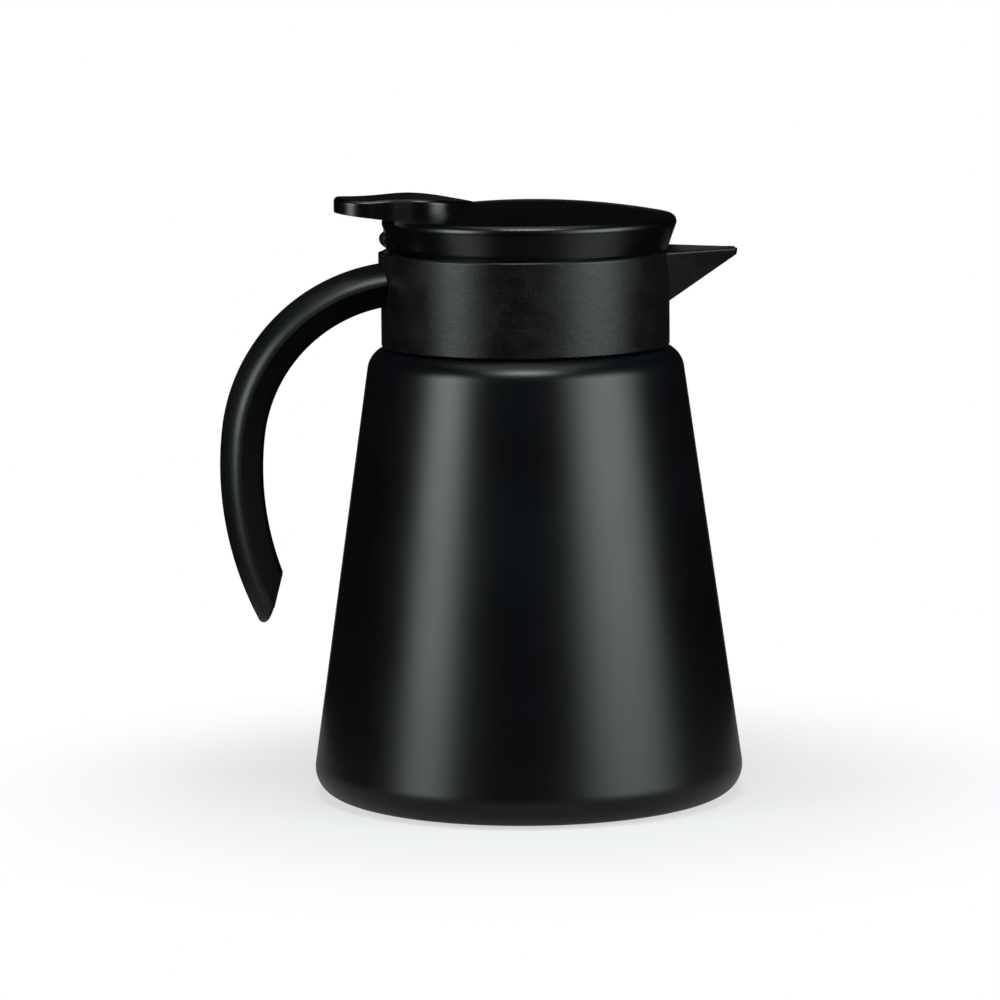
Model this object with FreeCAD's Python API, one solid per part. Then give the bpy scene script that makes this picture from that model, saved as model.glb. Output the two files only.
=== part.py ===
"""Insulated pouring jug with a thumb-lever lid, one solid per piece, in millimetres.

The origin is the centre of the foot, on the surface that the jug stands on. +Z is up, the handle
points to -X, the spout to +X, and the hinge pin lies along Y.
"""
import FreeCAD, Part
import math
import os

Vec = FreeCAD.Vector

# Steel body: a cone that narrows from the foot to the shoulder
cone_foot_radius = 78.8
cone_shoulder_radius = 55.7
shoulder_height = 162.5
foot_corner = 9.5
shoulder_corner = 9.0
outer_wall = 0.8
inner_wall = 0.7
vacuum_gap = 6.0

# Neck and mouth
neck_radius = 46.8
neck_height = 8.7
neck_corner = 1.0
neck_vacuum_gap = 1.6
neck_bead_height = 4.2
neck_bead_rise = 0.7
neck_bead_length = 2.6
shoulder_vacuum_gap = 4.0
inner_shoulder_corner = 5.0
inner_neck_corner = 1.5

# Underside of the steel body
foot_proud = 0.6
base_ring_radius = 58.0
base_flange = 4.0
base_recess = 3.6
base_step = 1.0
dimple_radius = 6.0
dimple_depth = 1.6
pump_hole_radius = 0.8
bead_clearance = 0.8
bead_thickness = 1.2
base_cover_thickness = 1.0
foot_ring_width = 7.0
foot_ring_corner = 0.8
ring_gap = 0.3

# Liner base
flask_lift = 10.0
flask_corner = 10.0
flask_ring_radius = 50.0
flask_base_overlap = 3.0
getter_radius = 7.0
getter_thickness = 2.0
getter_offset = 20.0

# Collar
collar_radius = 51.7
collar_height = 33.9
collar_wall = 3.3
collar_top_edge = 0.9
collar_foot_edge = 0.6
snap_clearance = 0.15
gasket_thickness = 1.2
gasket_width = 2.6
ledge_thickness = 2.5
ledge_radius = 44.5

# Beak spout on the collar
spout_reach = 76.6
spout_drop = 18.3
spout_root_half = 17.5
spout_keel_root_half = 6.5
spout_tip_half = 4.2
spout_tip_keel_half = 2.1
spout_tip_depth = 2.4
spout_rim_gap = 0.1
spout_wall = 2.0
spout_lip = 1.2
spout_tip_flat = 0.2
spout_rim_round = 0.8
spout_channel_tip_depth = 0.6
spout_channel_tip_keel_half = 1.0

# Handle: two mouldings along one centreline of two arcs
handle_root_height = 22.5
handle_root_tilt = 8.65
handle_upper_radius = 59.6
handle_upper_sweep = 74.3
handle_lower_radius = 112.4
handle_lower_sweep = 32.1
handle_thickness = 15.0
handle_half_width = 13.3
handle_parting = 0.6
handle_wall = 2.4
handle_parting_step = 0.4
handle_cover_side_wall = 3.4
handle_inner_half_width = 8.4
handle_inner_round = 3.0
handle_tip_round = 1.7
handle_end_lean = 16.4
handle_root_block = 14.0
handle_end_block = 9.0
handle_pad = 0.8
handle_pad_top_gap = 0.6

# Handle fasteners
insert_radius = 2.4
insert_length = 7.0
insert_spacing = 9.0
screw_lift = 3.3
screw_radius = 1.45
screw_reach = 8.0
screw_head_radius = 2.8
screw_head_depth = 1.4
thread_clearance = 0.03

# Stopper
stopper_flange_height = 5.4
stopper_bore = 37.0
stopper_depth = 15.6
stopper_edge = 0.8
plug_clearance = 0.8
flange_clearance = 0.3
seal_drop = 8.0
seal_height = 3.5
seal_groove = 1.5
seal_clearance = 0.2
bracket_clearance = 0.8
bracket_thickness = 3.0
spring_plate = 1.6

# Hinge
hinge_x = -48.3
hinge_rise = 3.8
knuckle_radius = 2.9
ear_width = 3.6
ear_inner = 5.4
hinge_side_gap = 0.3
knuckle_width = 3.9
pin_radius = 1.25
pin_running_clearance = 0.05
pin_fit_clearance = 0.02
pin_end_inset = 0.2
notch_clearance = 0.5

# Lid
lid_seam = 0.8
lid_band_height = 11.3
lid_foot_radius = 49.6
lid_offset = 1.6
lid_rim_radius = 53.6
lid_rim_round = 2.6
dome_radius = 268.0
lid_wall = 2.2

# Thumb lever, part of the lid cover
lever_end = 68.2
lever_end_half = 14.0
lever_end_round = 12.4
lever_waist_x = 52.0
lever_waist_half = 13.0
lever_waist_round = 24.0
lever_leaf_x = 34.0
lever_leaf_half = 19.5
lever_leaf_round = 13.0
lever_tip_x = 16.0
lever_tip_round = 5.0
lever_thickness = 4.8
lever_rise = 2.7
lever_end_lift = 1.6
lever_dish = 0.7
lever_crest_x = 43.0
lever_bulge = 0.6
lever_edge_round = 1.6
lever_root_rise = 0.2

# Lid liner, gasket, foam and screws
liner_plug_radius = 40.6
liner_wall = 1.8
liner_flange_lift = 2.2
liner_flange_clearance = 0.45
liner_floor = 1.8
liner_boss_drop = 1.2
lid_gasket_height = 2.4
lid_gasket_lap = 0.9
foam_clearance = 0.3
foam_head_gap = 3.0
boss_radius = 3.0
boss_circle = 43.9
lid_screw_radius = 1.2
lid_screw_reach = 6.0
lid_screw_head_radius = 2.3
lid_screw_head = 1.5
lid_screw_sweep = 110.0

# Torsion spring on the hinge pin
wire_radius = 0.45
coil_radius = 2.2
coil_turns = 6.25
coil_pitch = 1.34
spring_leg = 11.0
spring_lid_leg = 1.6
spring_touch = 0.08

# Heights and places that follow from the sizes above
steel_bottom = foot_proud
taper = (cone_foot_radius - cone_shoulder_radius) / shoulder_height
slant = math.sqrt(1 + taper * taper)
lip_bottom = shoulder_height + neck_height
lip_top = lip_bottom + inner_wall
inner_neck_radius = neck_radius - outer_wall - neck_vacuum_gap
mouth_radius = inner_neck_radius - inner_wall
inner_shoulder = shoulder_height - outer_wall - shoulder_vacuum_gap
base_underside = steel_bottom + base_recess
flask_bottom = steel_bottom + flask_lift
ledge_bottom = lip_top + gasket_thickness
ledge_top = ledge_bottom + ledge_thickness
collar_top = shoulder_height + collar_height
collar_bore = collar_radius - collar_wall
spout_rim = collar_top - spout_rim_gap
spout_tip_round = spout_tip_keel_half - spout_tip_flat
seat_height = ledge_top + stopper_flange_height
flange_radius = collar_bore - flange_clearance
plug_radius = mouth_radius - plug_clearance
bracket_x = -(collar_bore - bracket_clearance)
hinge_z = collar_top + hinge_rise
ear_outer = ear_inner + ear_width
knuckle_inner = ear_outer + hinge_side_gap
knuckle_outer = knuckle_inner + knuckle_width
lid_foot = collar_top + lid_seam
lid_rim = lid_foot + lid_band_height
dome_top = lid_rim + dome_radius - math.sqrt(dome_radius ** 2 - lid_rim_radius ** 2)
dome_centre = dome_top - dome_radius
notch_top = hinge_z + knuckle_radius + notch_clearance
lid_bore = lid_foot_radius - lid_wall
gasket_top = seat_height + lid_gasket_height
liner_flange_bottom = lid_foot + liner_flange_lift
liner_flange_top = liner_flange_bottom + liner_wall
liner_flange_radius = lid_bore - liner_flange_clearance
liner_floor_top = gasket_top + liner_floor
lever_top = dome_top + lever_rise
handle_z = shoulder_height + handle_root_height
screw_z = handle_z + screw_lift
insert_y = insert_spacing / 2

# Modelling limits
same_point = 1e-6
same_height = 0.01
biarcs_per_turn = 4
gap_samples_per_turn = 48

UP = Vec(0, 0, 1)
ORIGIN = Vec(0, 0, 0)


def cone_radius(z):
    """Outer radius of the steel cone at height z."""
    return cone_foot_radius - taper * z


def on_xz(u, v):
    """Drawing point (u, v) in the vertical plane through the handle and the spout."""
    return Vec(u, 0, v)


def on_xy(u, v):
    """Drawing point (u, v) in the floor plane."""
    return Vec(u, v, 0)


def arc_reaches(points, rounds):
    """Distance from each corner to the ends of its arc, less where two arcs would share one side."""
    count = len(points)
    reaches = []
    for i, radius in enumerate(rounds):
        before = points[i - 1] - points[i]
        after = points[(i + 1) % count] - points[i]
        reaches.append(radius / math.tan(before.getAngle(after) / 2))
    shares = [1.0] * count
    for i in range(count):
        follow = (i + 1) % count
        wanted = reaches[i] + reaches[follow]
        side = points[i].distanceToPoint(points[follow])
        if wanted > side:
            shares[i] = min(shares[i], side / wanted)
            shares[follow] = min(shares[follow], side / wanted)
    return [reach * share for reach, share in zip(reaches, shares)]


def rounded_wire(corners, place):
    """Closed wire through corners (u, v, radius), with a tangent arc at each rounded corner."""
    points = [Vec(u, v, 0) for u, v, radius in corners]
    count = len(points)
    reaches = arc_reaches(points, [radius for u, v, radius in corners])
    ins = []
    outs = []
    arcs = []
    for i, here in enumerate(points):
        before = (points[i - 1] - here).normalize()
        after = (points[(i + 1) % count] - here).normalize()
        ins.append(here + before * reaches[i])
        outs.append(here + after * reaches[i])
        if reaches[i] == 0:
            arcs.append(None)
            continue
        half = before.getAngle(after) / 2
        top = reaches[i] * (1 / math.cos(half) - math.tan(half))
        arcs.append(here + (before + after).normalize() * top)
    edges = []
    for i in range(count):
        follow = (i + 1) % count
        if arcs[i] is not None:
            stops = [place(p.x, p.y) for p in (ins[i], arcs[i], outs[i])]
            edges.append(Part.Arc(*stops).toShape())
        start = place(outs[i].x, outs[i].y)
        end = place(ins[follow].x, ins[follow].y)
        if start.distanceToPoint(end) > same_point:
            edges.append(Part.LineSegment(start, end).toShape())
    return Part.Wire(edges)


def turned(corners):
    """Solid of revolution about Z of the rounded outline (radius, height, round)."""
    return Part.Face(rounded_wire(corners, on_xz)).revolve(ORIGIN, UP, 360)


def ring(inner, outer, low, high):
    """Plain ring about Z."""
    return turned([(inner, low, 0), (outer, low, 0), (outer, high, 0), (inner, high, 0)])


def box(x, y, z):
    """Box between the given pairs of limits."""
    return Part.makeBox(x[1] - x[0], y[1] - y[0], z[1] - z[0], Vec(x[0], y[0], z[0]))


def rod(radius, start, end):
    """Round rod between two points."""
    return Part.makeCylinder(radius, start.distanceToPoint(end), start, end - start)


def pillar(radius, low, high):
    """Round bar on the Z axis, used to cut round faces."""
    return Part.makeCylinder(radius, high - low, Vec(0, 0, low))


def slab(outline, low, high, place, direction):
    """Prism of an outline, from low to high along a direction square to its plane."""
    face = Part.Face(rounded_wire(outline, place))
    face.translate(direction * low)
    return face.extrude(direction * (high - low))


def dome(radius):
    """Ball on the dome's centre."""
    return Part.makeSphere(radius, Vec(0, 0, dome_centre))


def outer_shell():
    low = steel_bottom
    wall = outer_wall
    bead_low = shoulder_height + neck_bead_height - neck_bead_length / 2
    bead_high = bead_low + neck_bead_length
    bead_radius = neck_radius + neck_bead_rise
    return turned([
        (base_ring_radius, low, 0),
        (cone_radius(low), low, foot_corner),
        (cone_radius(shoulder_height), shoulder_height, shoulder_corner),
        (neck_radius, shoulder_height, neck_corner),
        (neck_radius, bead_low, 0),
        (bead_radius, bead_low + neck_bead_rise, 0),
        (bead_radius, bead_high - neck_bead_rise, 0),
        (neck_radius, bead_high, 0),
        (neck_radius, lip_bottom, 0),
        (neck_radius - wall, lip_bottom, 0),
        (neck_radius - wall, shoulder_height - wall, neck_corner + wall),
        (cone_radius(shoulder_height - wall) - wall * slant, shoulder_height - wall, shoulder_corner - wall),
        (cone_radius(low + wall) - wall * slant, low + wall, foot_corner - wall),
        (base_ring_radius, low + wall, 0),
    ])


def outer_base():
    low = steel_bottom + outer_wall
    under = base_underside
    wall = outer_wall
    step = base_ring_radius - base_step
    return turned([
        (base_ring_radius + base_flange, low, 0),
        (base_ring_radius + base_flange, low + wall, 0),
        (base_ring_radius + wall, low + wall, 0),
        (step + wall, under + wall, 0),
        (dimple_radius + base_step, under + wall, 0),
        (dimple_radius, under + dimple_depth + wall, 0),
        (pump_hole_radius, under + dimple_depth + wall, 0),
        (pump_hole_radius, under + dimple_depth, 0),
        (dimple_radius - wall, under + dimple_depth, 0),
        (dimple_radius - wall + base_step, under, 0),
        (step, under, 0),
        (base_ring_radius, low, 0),
    ])


def vacuum_bead():
    top = base_underside + dimple_depth
    radius = dimple_radius - outer_wall - bead_clearance
    return turned([
        (0, top - bead_thickness, 0),
        (radius, top - bead_thickness, bead_thickness / 2),
        (radius, top, 0),
        (0, top, 0),
    ])


def base_cover():
    radius = base_ring_radius - base_step - foot_ring_width - 2 * ring_gap
    return ring(0, radius, base_underside - base_cover_thickness, base_underside)


def foot_ring():
    outer = base_ring_radius - base_step - ring_gap
    inner = outer - foot_ring_width
    return turned([
        (inner, 0, foot_ring_corner),
        (outer, 0, foot_ring_corner),
        (outer, base_underside, 0),
        (inner, base_underside, 0),
    ])


def liner_radius(z):
    """Outer radius of the liner's cone at height z."""
    return cone_radius(z) - (outer_wall + vacuum_gap) * slant


def inner_flask():
    wall = inner_wall
    low = flask_bottom
    high = inner_shoulder
    return turned([
        (flask_ring_radius, low, 0),
        (liner_radius(low), low, flask_corner),
        (liner_radius(high), high, inner_shoulder_corner),
        (inner_neck_radius, high, inner_neck_corner),
        (inner_neck_radius, lip_bottom, 0),
        (neck_radius, lip_bottom, 0),
        (neck_radius, lip_top, 0),
        (mouth_radius, lip_top, wall / 2),
        (mouth_radius, high - wall, inner_neck_corner + wall),
        (liner_radius(high - wall) - wall * slant, high - wall, inner_shoulder_corner - wall),
        (liner_radius(low + wall) - wall * slant, low + wall, flask_corner - wall),
        (flask_ring_radius, low + wall, 0),
    ])


def inner_base():
    low = flask_bottom + inner_wall
    return ring(0, flask_ring_radius + flask_base_overlap, low, low + inner_wall)


def getter():
    top = flask_bottom + inner_wall
    low = Vec(getter_offset, 0, top - getter_thickness)
    return rod(getter_radius, low, low + UP * getter_thickness)


def spout_section(x, rim_half, keel_half, rim, keel):
    """Cross-section of the beak: wide at the rim, narrow at the keel."""
    upper = [Vec(x, -rim_half, rim), Vec(x, rim_half, rim)]
    lower = [Vec(x, keel_half, keel), Vec(x, -keel_half, keel)]
    return Part.makePolygon(upper + lower + upper[:1])


def spout_at(x):
    """Half width of the beak's rim and height of its keel at a distance from the jug's axis."""
    left = (spout_reach - x) / (spout_reach - collar_radius)
    half = spout_tip_half + (spout_root_half - spout_tip_half) * left
    keel = spout_rim - spout_tip_depth - (spout_drop - spout_tip_depth) * left
    return half, keel


def spout_body():
    """Solid beak, from inside the collar's wall to its rounded tip."""
    half, keel = spout_at(collar_bore)
    root = spout_section(collar_bore, half, spout_keel_root_half, spout_rim, keel)
    half, keel = spout_at(spout_reach)
    tip = spout_section(spout_reach, half, spout_tip_keel_half, spout_rim, keel)
    beak = Part.makeLoft([root, tip], True, True)
    upright = []
    for edge in beak.Edges:
        at_tip = edge.BoundBox.XMin > spout_reach - spout_wall
        if at_tip and edge.BoundBox.ZLength > spout_tip_depth / 2:
            upright.append(edge)
    beak = beak.makeFillet(spout_tip_round, upright)
    rims = []
    for edge in beak.Edges:
        at_rim = edge.BoundBox.ZMin > spout_rim - same_height
        if at_rim and edge.BoundBox.XMax > collar_radius:
            rims.append(edge)
    return beak.makeFillet(spout_rim_round, rims)


def spout_channel():
    """Open channel of the beak, which cuts the collar's wall down to the level of the stopper's seat."""
    over = spout_rim_gap + lid_seam
    tip_floor = spout_rim - spout_channel_tip_depth
    slope = (tip_floor - seat_height) / (spout_reach - collar_bore)
    root_floor = seat_height - slope * (collar_bore - stopper_bore)
    end_floor = tip_floor + slope * spout_wall
    root_half = spout_at(stopper_bore)[0] - spout_wall
    root_keel_half = spout_keel_root_half - spout_wall
    flare = (root_half - root_keel_half) / (spout_rim - root_floor)
    end_half = spout_tip_half - spout_lip
    top = spout_rim + over
    root = spout_section(stopper_bore, root_half + flare * over, root_keel_half, top, root_floor)
    end_keel_half = spout_channel_tip_keel_half
    end = spout_section(spout_reach + spout_wall, end_half + flare * over, end_keel_half, top, end_floor)
    return Part.makeLoft([root, end], True, True)


def screw_axis(side, x):
    """Point on the axis of one of the two handle screws."""
    return Vec(x, side * insert_y, screw_z)


def handle_screw(side, clearance):
    """One countersunk screw, or with a clearance the hole that it needs in the collar."""
    head = -collar_bore
    neck = screw_axis(side, head - screw_head_depth)
    wide = screw_head_radius + clearance
    narrow = screw_radius + clearance
    cone = Part.makeCone(wide, narrow, screw_head_depth, screw_axis(side, head), Vec(-1, 0, 0))
    shank = rod(narrow, neck, screw_axis(side, -collar_radius - screw_reach))
    solid = cone.fuse(shank)
    if clearance > 0:
        solid = solid.fuse(rod(wide, screw_axis(side, head), screw_axis(side, head + collar_wall)))
    return solid.removeSplitter()


def collar():
    bore = neck_radius + snap_clearance
    bevel = neck_corner + snap_clearance
    body = turned([
        (bore, shoulder_height + bevel, 0),
        (bore + bevel, shoulder_height, 0),
        (collar_radius, shoulder_height, collar_foot_edge),
        (collar_radius, collar_top, collar_top_edge),
        (collar_bore, collar_top, collar_foot_edge),
        (collar_bore, ledge_top, 0),
        (ledge_radius, ledge_top, 0),
        (ledge_radius, ledge_bottom, 0),
        (bore, ledge_bottom, 0),
    ])
    bead_low = shoulder_height + neck_bead_height - neck_bead_length / 2 - snap_clearance
    bead_high = bead_low + neck_bead_length + 2 * snap_clearance
    rise = neck_bead_rise
    groove = turned([
        (neck_radius, bead_low, 0),
        (bore, bead_low, 0),
        (bore + rise, bead_low + rise, 0),
        (bore + rise, bead_high - rise, 0),
        (bore, bead_high, 0),
        (neck_radius, bead_high, 0),
    ])
    body = body.cut(groove)
    beak = spout_body().cut(pillar((collar_radius + collar_bore) / 2, 0, collar_top))
    body = body.fuse(beak).cut(spout_channel())
    for side in (-1, 1):
        body = body.cut(handle_screw(side, thread_clearance))
    return body.removeSplitter()


def neck_gasket():
    return ring(neck_radius - gasket_width, neck_radius, lip_top, ledge_bottom)


class HandlePath:
    """Centreline of the handle in the XZ plane: a straight root, an upper arc and a lower arc."""

    def __init__(self):
        self.start = Vec(-collar_radius, 0, handle_z)
        self.heading = math.radians(180 + handle_root_tilt)
        self.upper_centre = self.start + self.inward(self.heading) * handle_upper_radius
        self.bend = self.heading + math.radians(handle_upper_sweep)
        self.join = self.upper_centre - self.inward(self.bend) * handle_upper_radius
        self.lower_centre = self.join + self.inward(self.bend) * handle_lower_radius
        self.end = self.bend + math.radians(handle_lower_sweep)

    def inward(self, heading):
        """Unit vector towards the arc's centre."""
        return Vec(-math.sin(heading), 0, math.cos(heading))

    def on_upper(self, heading):
        return self.upper_centre - self.inward(heading) * handle_upper_radius

    def on_lower(self, heading):
        return self.lower_centre - self.inward(heading) * handle_lower_radius

    def sweep(self, section, first, last):
        """Solid of a section drawn by section(place), from heading first to heading last."""
        turn = Vec(0, -1, 0)
        pieces = []
        if first <= self.heading:
            run = collar_radius - ledge_radius
            along = Vec(math.cos(self.heading), 0, math.sin(self.heading))
            face = section(self.placer(self.start - along * run, self.heading))
            pieces.append(face.extrude(along * run))
            first = self.heading
        face = section(self.placer(self.on_upper(first), first))
        pieces.append(face.revolve(self.upper_centre, turn, math.degrees(self.bend - first)))
        face = section(self.placer(self.join, self.bend))
        pieces.append(face.revolve(self.lower_centre, turn, math.degrees(last - self.bend)))
        return pieces[0].fuse(pieces[1:]).removeSplitter()

    def placer(self, point, heading):
        """Maps (across, outward) of a section to space."""
        outward = self.inward(heading) * -1
        return lambda across, out: point + Vec(0, across, 0) + outward * out


def back_section(half_width, depth):
    """Section of the handle's back: a half ellipse that stands on the parting line."""
    def section(place):
        centre = place(0, handle_parting)
        oval = Part.Ellipse(place(half_width, handle_parting), place(0, depth + handle_parting), centre)
        curve = Part.ArcOfEllipse(oval, 0, math.pi).toShape()
        ends = [v.Point for v in curve.Vertexes]
        chord = Part.LineSegment(ends[1], ends[0]).toShape()
        return Part.Face(Part.Wire([curve, chord]))
    return section


def inner_section(half_width, inner_half, depth, corner):
    """Section of the handle's inner side: a trapezium that hangs from the parting line."""
    def section(place):
        top = handle_parting
        return Part.Face(rounded_wire([
            (-half_width, top, 0),
            (-inner_half, top - depth, corner),
            (inner_half, top - depth, corner),
            (half_width, top, 0),
        ], place))
    return section


def handle_end_cut(path):
    """Block that cuts the handle's free end along a flat face that leans out of the upright."""
    centre = path.on_lower(path.end)
    lean = math.radians(handle_end_lean)
    upward = Vec(math.sin(lean), 0, math.cos(lean))
    away = Vec(math.cos(lean), 0, -math.sin(lean))
    reach = 2 * (handle_thickness + handle_half_width)
    corners = [
        centre + upward * reach,
        centre + upward * reach + away * reach,
        centre - upward * reach + away * reach,
        centre - upward * reach,
    ]
    face = Part.Face(Part.makePolygon(corners + corners[:1]))
    face.translate(Vec(0, -reach, 0))
    return face.extrude(Vec(0, 2 * reach, 0))


def handle_headings(path):
    """Headings where the handle's hollow starts and ends, and where the raw sweep ends."""
    hollow_start = path.heading + handle_root_block / handle_upper_radius
    hollow_end = path.end - (handle_thickness + handle_end_block) / handle_lower_radius
    raw_end = path.end + 2 * handle_thickness / handle_lower_radius
    return hollow_start, hollow_end, raw_end


def handle_shell():
    path = HandlePath()
    hollow_start, hollow_end, raw_end = handle_headings(path)
    depth = handle_thickness / 2 - handle_parting
    solid = path.sweep(back_section(handle_half_width, depth), path.heading, raw_end)
    solid = solid.cut(handle_end_cut(path))
    lowest = min(solid.Edges, key=lambda edge: edge.BoundBox.ZMin + edge.BoundBox.ZMax)
    solid = solid.makeFillet(handle_tip_round, [lowest])
    hollow = back_section(handle_half_width - handle_wall, depth - handle_wall)
    solid = solid.cut(path.sweep(hollow, hollow_start, hollow_end))
    pad_top = collar_top - handle_pad_top_gap
    pad_x = (-collar_radius - handle_pad, -collar_bore)
    pad_low = handle_z + handle_parting + handle_parting_step
    pad = box(pad_x, (-handle_half_width, handle_half_width), (pad_low, pad_top))
    solid = solid.fuse(pad.common(pillar(collar_radius + handle_pad, 0, collar_top)))
    solid = solid.cut(pillar(collar_radius, 0, collar_top))
    for side in (-1, 1):
        end = screw_axis(side, -collar_radius - insert_length)
        solid = solid.cut(rod(insert_radius + thread_clearance, screw_axis(side, -collar_bore), end))
        tip = screw_axis(side, -collar_radius - screw_reach - thread_clearance)
        solid = solid.cut(rod(screw_radius + thread_clearance, screw_axis(side, -collar_bore), tip))
    return solid.removeSplitter()


def handle_cover():
    path = HandlePath()
    hollow_start, hollow_end, raw_end = handle_headings(path)
    half = handle_half_width - handle_parting_step
    depth = handle_thickness / 2 + handle_parting
    outside = inner_section(half, handle_inner_half_width, depth, handle_inner_round)
    solid = path.sweep(outside, path.heading, raw_end)
    solid = solid.cut(handle_end_cut(path))
    wall = handle_wall
    hollow = inner_section(half - handle_cover_side_wall, handle_inner_half_width - wall, depth - wall, 0)
    solid = solid.cut(path.sweep(hollow, hollow_start, hollow_end))
    solid = solid.cut(pillar(collar_radius, 0, collar_top))
    return solid.removeSplitter()


def handle_inserts():
    pieces = []
    for side in (-1, 1):
        start = screw_axis(side, -collar_radius - thread_clearance)
        end = screw_axis(side, -collar_radius - insert_length + thread_clearance)
        tip = screw_axis(side, -collar_radius - screw_reach)
        bore = rod(screw_radius + thread_clearance, screw_axis(side, -collar_bore), tip)
        pieces.append(rod(insert_radius, start, end).cut(bore))
    return Part.makeCompound(pieces)


def handle_screws():
    return Part.makeCompound([handle_screw(side, 0) for side in (-1, 1)])


def hinge_rod(radius, side, low, high):
    """Round bar on the hinge axis between two distances from the middle, on one side."""
    start = Vec(hinge_x, side * low, hinge_z)
    return rod(radius, start, Vec(hinge_x, side * high, hinge_z))


def stopper_ring():
    low = ledge_top - stopper_depth
    seal_top = ledge_top - seal_drop
    seal_low = seal_top - seal_height
    groove = plug_radius - seal_groove
    solid = turned([
        (stopper_bore, low, 0),
        (plug_radius, low, stopper_edge),
        (plug_radius, seal_low, 0),
        (groove, seal_low, 0),
        (groove, seal_top, 0),
        (plug_radius, seal_top, 0),
        (plug_radius, ledge_top, 0),
        (flange_radius, ledge_top, 0),
        (flange_radius, seat_height, stopper_edge),
        (stopper_bore, seat_height, stopper_edge / 2),
    ])
    sink = stopper_flange_height / 2
    front = bracket_x + bracket_thickness
    arm_low = hinge_z - knuckle_radius
    plate_back = hinge_x + coil_radius + wire_radius + spring_touch
    plate_x = (plate_back, plate_back + spring_plate)
    plate = box(plate_x, (-ear_inner, ear_inner), (seat_height - sink, arm_low))
    solid = solid.fuse(plate)
    for side in (-1, 1):
        y = sorted((side * ear_inner, side * ear_outer))
        leg = box((bracket_x, front), y, (seat_height - sink, hinge_z))
        leg = leg.common(pillar(flange_radius, 0, hinge_z))
        arm = box((hinge_x, front), y, (arm_low, hinge_z + knuckle_radius / 2))
        ear = leg.fuse([arm, hinge_rod(knuckle_radius, side, ear_inner, ear_outer)])
        solid = solid.fuse(ear)
        solid = solid.cut(hinge_rod(pin_radius + pin_running_clearance, side, 0, knuckle_outer))
    return solid.removeSplitter()


def stopper_seal():
    top = ledge_top - seal_drop
    groove = plug_radius - seal_groove
    outer = mouth_radius - seal_clearance
    round_edge = (outer - plug_radius) / 2
    return turned([
        (groove, top - seal_height, 0),
        (outer, top - seal_height, round_edge),
        (outer, top, round_edge),
        (groove, top, 0),
    ])


def lid_outside():
    """Solid outside of the lid: leaning band, rounded rim and dome, a little nearer to the spout."""
    blank = turned([
        (0, lid_foot, 0),
        (lid_foot_radius, lid_foot, 0),
        (lid_rim_radius, lid_rim, 0),
        (lid_rim_radius, dome_top, 0),
        (0, dome_top, 0),
    ])
    solid = blank.common(dome(dome_radius))
    rims = []
    for edge in solid.Edges:
        level = edge.BoundBox.ZLength < same_height
        if level and abs(edge.BoundBox.ZMin - lid_rim) < same_height:
            rims.append(edge)
    solid = solid.makeFillet(lid_rim_round, rims)
    solid.translate(Vec(lid_offset, 0, 0))
    return solid


def lid_inside():
    """Hollow of the lid, open below, that keeps the wall even."""
    lean = (lid_rim_radius - lid_foot_radius) / lid_band_height
    low = lid_foot - lid_seam
    height = dome_top - low
    drum_foot = lid_bore - lean * lid_seam
    drum = Part.makeCone(drum_foot, drum_foot + lean * height, height, Vec(0, 0, low))
    hollow = drum.common(dome(dome_radius - lid_wall))
    hollow.translate(Vec(lid_offset, 0, 0))
    return hollow


def dome_height(x):
    """Height of the dome at a distance from its middle."""
    return dome_centre + math.sqrt(dome_radius ** 2 - x ** 2)


def lever():
    """Leaf-shaped thumb lever with a dished end, before it is joined to the dome."""
    half = [
        (-lever_end, lever_end_half, lever_end_round),
        (-lever_waist_x, lever_waist_half, lever_waist_round),
        (-lever_leaf_x, lever_leaf_half, lever_leaf_round),
    ]
    mirrored = [(x, -y, radius) for x, y, radius in reversed(half)]
    outline = half + [(-lever_tip_x, 0, lever_tip_round)] + mirrored
    root_low = lid_rim + lever_root_rise
    leaf = slab(outline, root_low - lever_rise, lever_top + lever_rise, on_xy, UP)
    over = lever_tip_round
    ramp_x = lever_tip_x - over
    ramp_low = dome_height(ramp_x) - lever_dish
    ramp_mid = (lever_crest_x + lever_tip_x) / 2
    crown = Part.BSplineCurve()
    crown.interpolate([
        Vec(-lever_end - over, 0, lever_top + lever_end_lift),
        Vec(-(lever_end + lever_waist_x) / 2, 0, lever_top - lever_dish),
        Vec(-lever_crest_x, 0, lever_top),
        Vec(-ramp_mid, 0, (lever_top + dome_height(lever_tip_x)) / 2 + lever_bulge),
        Vec(-ramp_x, 0, ramp_low),
    ])
    top = crown.toShape()
    first, last = top.firstVertex().Point, top.lastVertex().Point
    under = [
        last,
        Vec(last.x, 0, root_low),
        Vec(-lid_foot_radius, 0, root_low),
        Vec(first.x, 0, lever_top - lever_thickness),
        first,
    ]
    face = Part.Face(Part.Wire([top] + Part.makePolygon(under).Edges))
    reach = 2 * lever_leaf_half
    face.translate(Vec(0, -reach, 0))
    solid = leaf.common(face.extrude(Vec(0, 2 * reach, 0)))
    crests = max(solid.Faces, key=lambda f: f.CenterOfMass.z)
    return solid.makeFillet(lever_edge_round, crests.Edges)


def lid_screw_points(z):
    """Places of the lid's screws at a height."""
    spots = []
    for turn in (-lid_screw_sweep, 0, lid_screw_sweep):
        angle = math.radians(turn)
        spots.append(Vec(lid_offset + boss_circle * math.cos(angle), boss_circle * math.sin(angle), z))
    return spots


def hinge_notch(low, high):
    """Space at the back of the lid for the ears, the knuckles and the spring."""
    half = knuckle_outer + hinge_side_gap
    front = bracket_x + bracket_thickness + notch_clearance
    return box((-lid_rim_radius - lid_wall, front), (-half, half), (low, high))


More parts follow.
